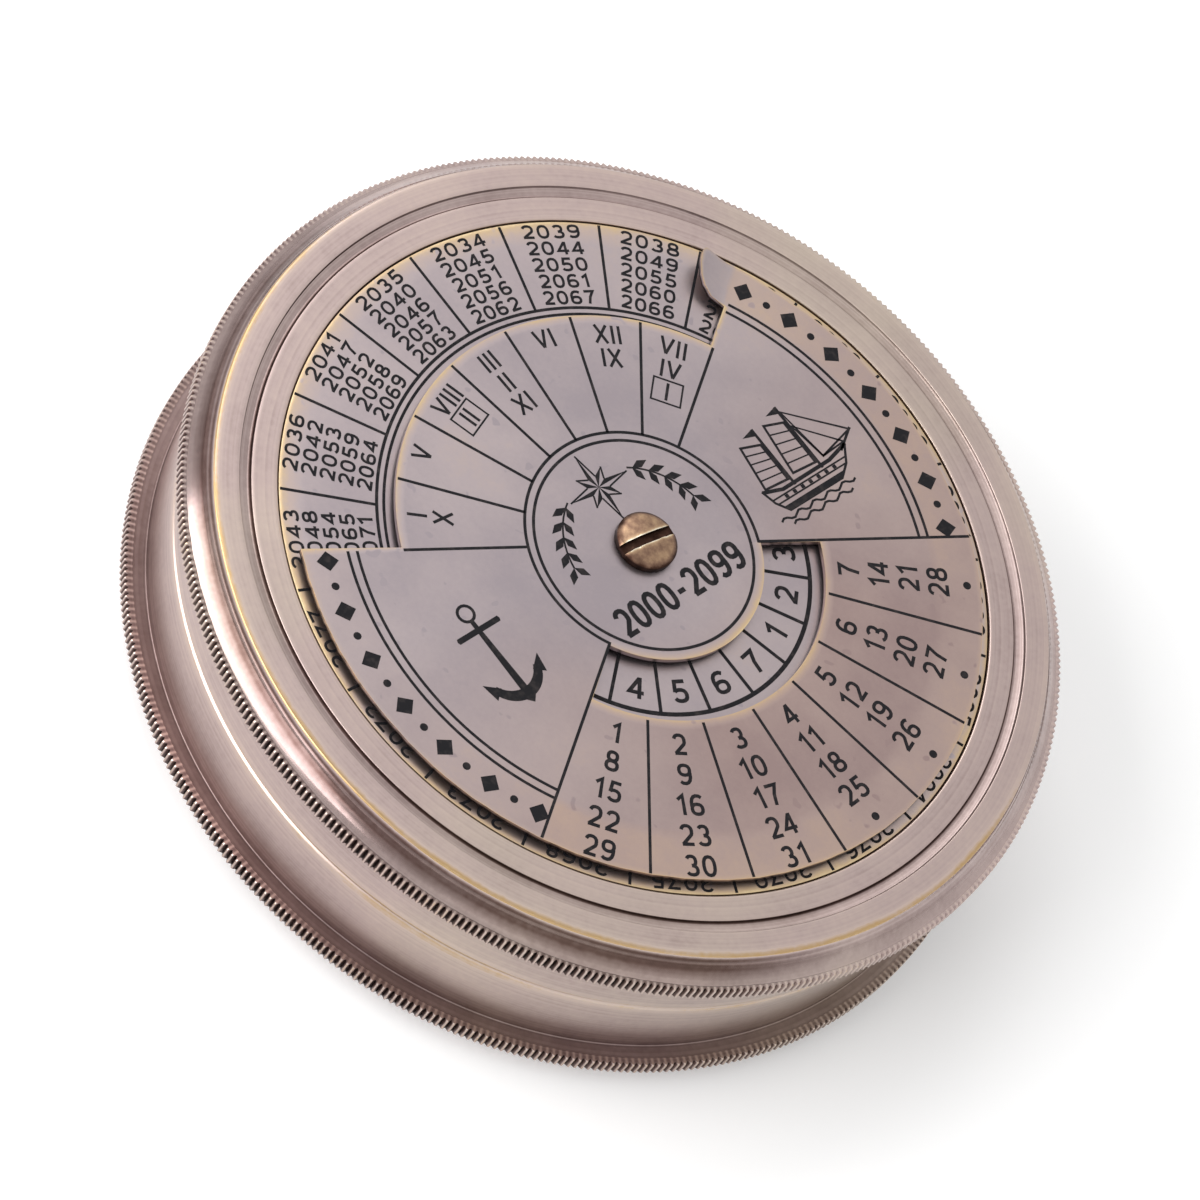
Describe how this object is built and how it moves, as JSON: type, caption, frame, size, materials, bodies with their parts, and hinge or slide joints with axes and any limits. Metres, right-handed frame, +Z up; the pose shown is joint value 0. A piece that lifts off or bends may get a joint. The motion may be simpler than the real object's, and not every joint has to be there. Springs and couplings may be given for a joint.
{
  "type": "calendar compass",
  "caption": "Round two-part turned brass case: a lid with a perpetual calendar under a turning month disc screws onto a base with a glazed compass and a swinging needle.",
  "frame": {"origin": "centre of the plain back, at the level it stands on", "axes": "+Z up through the calendar's centre screw, +Y along the needle's north end, +X to its right seen from above"},
  "size_m": [0.076, 0.076, 0.0212],
  "materials": {
    "antique_brass": "satin, turned, tarnished in the hollows and worn bright on the edges",
    "dial_brass": "satin with dark filled engraving",
    "screw_brass": "tarnished",
    "yellow_brass": "turned",
    "steel": "drawn wire",
    "needle_steel": "blued",
    "card": "matt printed card",
    "jewel": "polished",
    "clear_glass": "clear, ground edge"
  },
  "bodies": {
    "base": {"base_bowl": "antique_brass", "compass_card": "card", "pivot_post": "yellow_brass", "pivot_pin": "steel", "card_ring": "yellow_brass", "glass_crystal": "clear_glass", "glass_ring": "steel"},
    "needle": {"needle_blade": "needle_steel", "needle_cap": "yellow_brass", "needle_jewel": "jewel"},
    "lid": {"lid_shell": "antique_brass", "year_plate": "dial_brass", "disc_spacer": "yellow_brass", "centre_screw": "screw_brass", "nut_washer": "steel", "screw_nut": "yellow_brass"},
    "calendar_disc": {"month_disc": "dial_brass"}
  },
  "joints": [
    {"name": "lid_lift", "type": "slide", "parent": "base", "child": "lid", "axis": [0, 0, 1], "range_m": [0, 0.03]},
    {"name": "month_disc_turn", "type": "hinge", "parent": "lid", "child": "calendar_disc", "pos_m": [0, 0, 0.02], "axis": [0, 0, 1], "continuous": true},
    {"name": "needle_swing", "type": "hinge", "parent": "base", "child": "needle", "pos_m": [0, 0, 0.0077], "axis": [0, 0, 1], "continuous": true}
  ]
}
